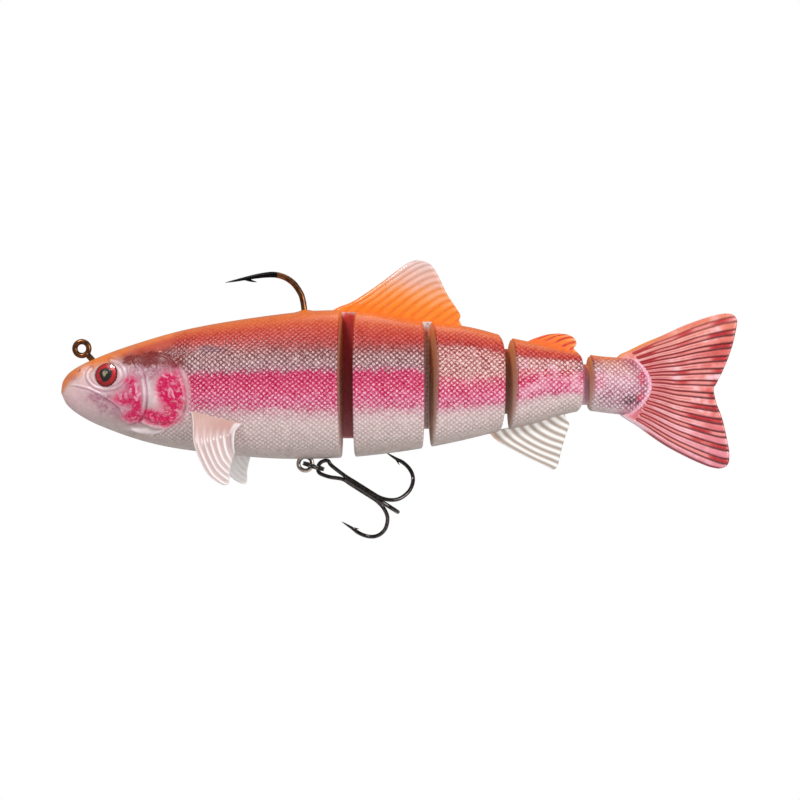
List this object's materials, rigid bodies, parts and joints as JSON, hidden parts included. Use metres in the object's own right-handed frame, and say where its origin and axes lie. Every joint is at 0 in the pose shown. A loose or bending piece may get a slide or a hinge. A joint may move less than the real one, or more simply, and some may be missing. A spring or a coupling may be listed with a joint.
{
  "type": "jointed swimbait",
  "caption": "Trout-shaped soft swimbait cut into body sections on thin webs, with a barbed top hook, and a treble hook under the belly.",
  "frame": {"origin": "centre of the line eye on the snout, where the line is tied", "axes": "+X from the head towards the tail, +Z towards the back, -Y out of the left flank"},
  "size_m": [0.1801, 0.0312, 0.0748],
  "materials": {
    "soft_skin": "satin",
    "orange_fin": "satin",
    "pearl_fin": "satin",
    "tail_fin": "satin",
    "web": "matte",
    "woven_core": "matte",
    "bronzed_steel": "satin",
    "black_nickel": "polished",
    "lead": "matte",
    "iris": "gloss",
    "pupil": "gloss",
    "lens": "polished"
  },
  "bodies": {
    "front_section": {"front_section": "soft_skin", "hinge_web_1": "web", "woven_core_front": "woven_core", "top_hook": "bronzed_steel", "ballast_weight": "lead", "belly_wire": "black_nickel", "dorsal_fin_front": "orange_fin", "eye_iris_left": "iris", "eye_pupil_left": "pupil", "eye_lens_left": "lens", "eye_iris_right": "iris", "eye_pupil_right": "pupil", "eye_lens_right": "lens"},
    "section_2": {"section_2": "soft_skin", "hinge_web_2": "web", "woven_core_2": "woven_core", "dorsal_fin_middle": "orange_fin"},
    "section_3": {"section_3": "soft_skin", "hinge_web_3": "web", "woven_core_3": "woven_core", "dorsal_fin_rear": "orange_fin", "anal_fin_front": "pearl_fin"},
    "section_4": {"section_4": "soft_skin", "hinge_web_4": "web", "woven_core_4": "woven_core", "adipose_fin": "orange_fin", "anal_fin_rear": "pearl_fin"},
    "tail_section": {"tail_section": "soft_skin", "woven_core_tail": "woven_core"},
    "tail_fin": {"tail_fin": "tail_fin"},
    "pectoral_fin_left": {"pectoral_fin_left": "pearl_fin"},
    "pectoral_fin_right": {"pectoral_fin_right": "pearl_fin"},
    "split_ring": {"split_ring": "black_nickel"},
    "treble_hook": {"treble_double_hook": "black_nickel", "treble_third_hook": "black_nickel"}
  },
  "joints": [
    {"name": "hinge_1", "type": "hinge", "parent": "front_section", "child": "section_2", "pos_m": [0.0711, 0, -0.0076], "axis": [0, 0, 1], "range_deg": [-18, 18], "stiffness_Nm_per_rad": 0.03, "deforming": ["hinge_web_1"]},
    {"name": "hinge_2", "type": "hinge", "parent": "section_2", "child": "section_3", "pos_m": [0.0918, 0, -0.0078], "axis": [0, 0, 1], "range_deg": [-21, 21], "stiffness_Nm_per_rad": 0.025, "deforming": ["hinge_web_2"]},
    {"name": "hinge_3", "type": "hinge", "parent": "section_3", "child": "section_4", "pos_m": [0.1129, 0, -0.0088], "axis": [0, 0, 1], "range_deg": [-25, 25], "stiffness_Nm_per_rad": 0.012, "deforming": ["hinge_web_3"]},
    {"name": "hinge_4", "type": "hinge", "parent": "section_4", "child": "tail_section", "pos_m": [0.13385, 0, -0.0095], "axis": [0, 0, 1], "range_deg": [-28, 28], "stiffness_Nm_per_rad": 0.006, "deforming": ["hinge_web_4"]},
    {"name": "tail_fin_flex", "type": "hinge", "parent": "tail_section", "child": "tail_fin", "pos_m": [0.15, 0, -0.0098], "axis": [0, 0, 1], "range_deg": [-18, 18], "stiffness_Nm_per_rad": 0.003},
    {"name": "pectoral_flex_left", "type": "hinge", "parent": "front_section", "child": "pectoral_fin_left", "pos_m": [0.0369, -0.0116, -0.0181], "axis": [-0.9853, 0, 0.1707], "range_deg": [-10, 25], "stiffness_Nm_per_rad": 0.0006},
    {"name": "pectoral_flex_right", "type": "hinge", "parent": "front_section", "child": "pectoral_fin_right", "pos_m": [0.0369, 0.0116, -0.0181], "axis": [0.9853, 0, -0.1707], "range_deg": [-10, 25], "stiffness_Nm_per_rad": 0.0006},
    {"name": "split_ring_swing", "type": "hinge", "parent": "front_section", "child": "split_ring", "pos_m": [0.05957, 0, -0.03067], "axis": [0, 1, 0], "range_deg": [0, 55]},
    {"name": "treble_swing", "type": "hinge", "parent": "split_ring", "child": "treble_hook", "pos_m": [0.06485, 0, -0.03195], "axis": [0, 1, 0], "range_deg": [0, 45]}
  ]
}
